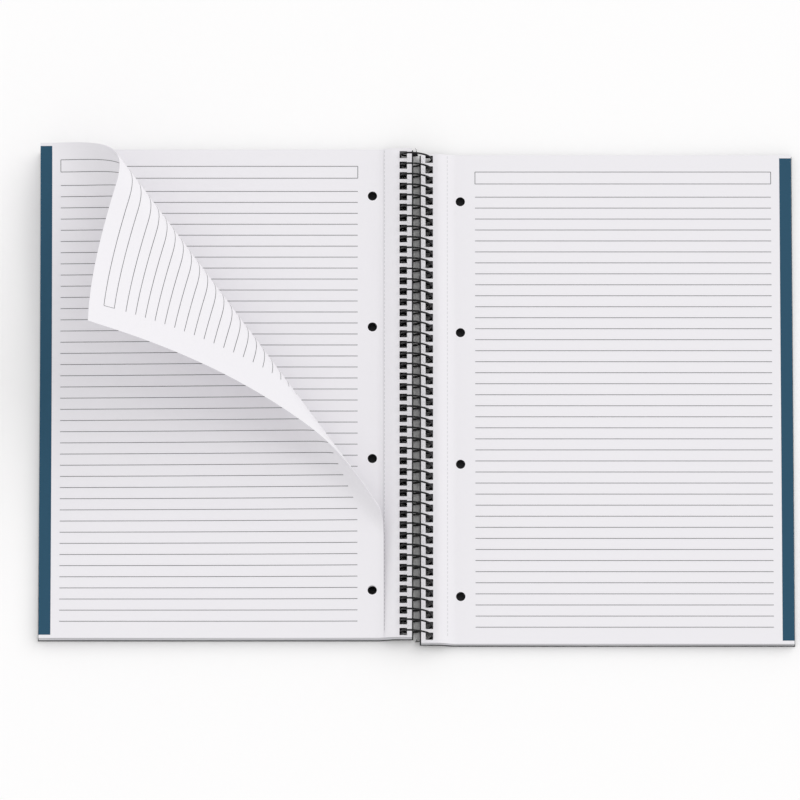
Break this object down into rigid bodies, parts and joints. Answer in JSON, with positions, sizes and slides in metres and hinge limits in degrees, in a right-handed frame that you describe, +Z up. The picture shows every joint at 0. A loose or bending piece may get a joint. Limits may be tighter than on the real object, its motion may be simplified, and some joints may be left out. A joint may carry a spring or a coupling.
{
  "type": "spiral notebook",
  "caption": "Open coil-bound notebook lying flat, with punched leaves and covers on a wire spiral and one torn leaf curled over its left page.",
  "frame": {"origin": "middle of the open notebook's footprint, on the table", "axes": "+X across the open notebook to the right page, +Y up the page along the coil, +Z up from the table"},
  "size_m": [0.4448, 0.301, 0.1252],
  "materials": {
    "wire": "black coated steel wire",
    "cover": "dark board",
    "paper": "smooth white writing paper",
    "ink": "thin grey print",
    "band": "blue print"
  },
  "bodies": {
    "back_half": {"back_cover": "cover", "unturned_leaves": "paper", "unturned_ruling": "ink", "unturned_band": "band"},
    "coil": {"wire_coil": "wire"},
    "front_half": {"front_cover": "cover", "turned_leaves": "paper", "turned_ruling": "ink", "turned_band": "band", "lifted_sheet": "paper"}
  },
  "joints": [
    {"name": "back_cover_swing", "type": "hinge", "parent": "coil", "child": "back_half", "pos_m": [0, 0, 0.0098], "axis": [0, -1, 0], "range_deg": [0, 90]},
    {"name": "front_cover_swing", "type": "hinge", "parent": "coil", "child": "front_half", "pos_m": [0, 0, 0.0098], "axis": [0, 1, 0], "range_deg": [0, 90], "deforming": ["lifted_sheet"]}
  ]
}
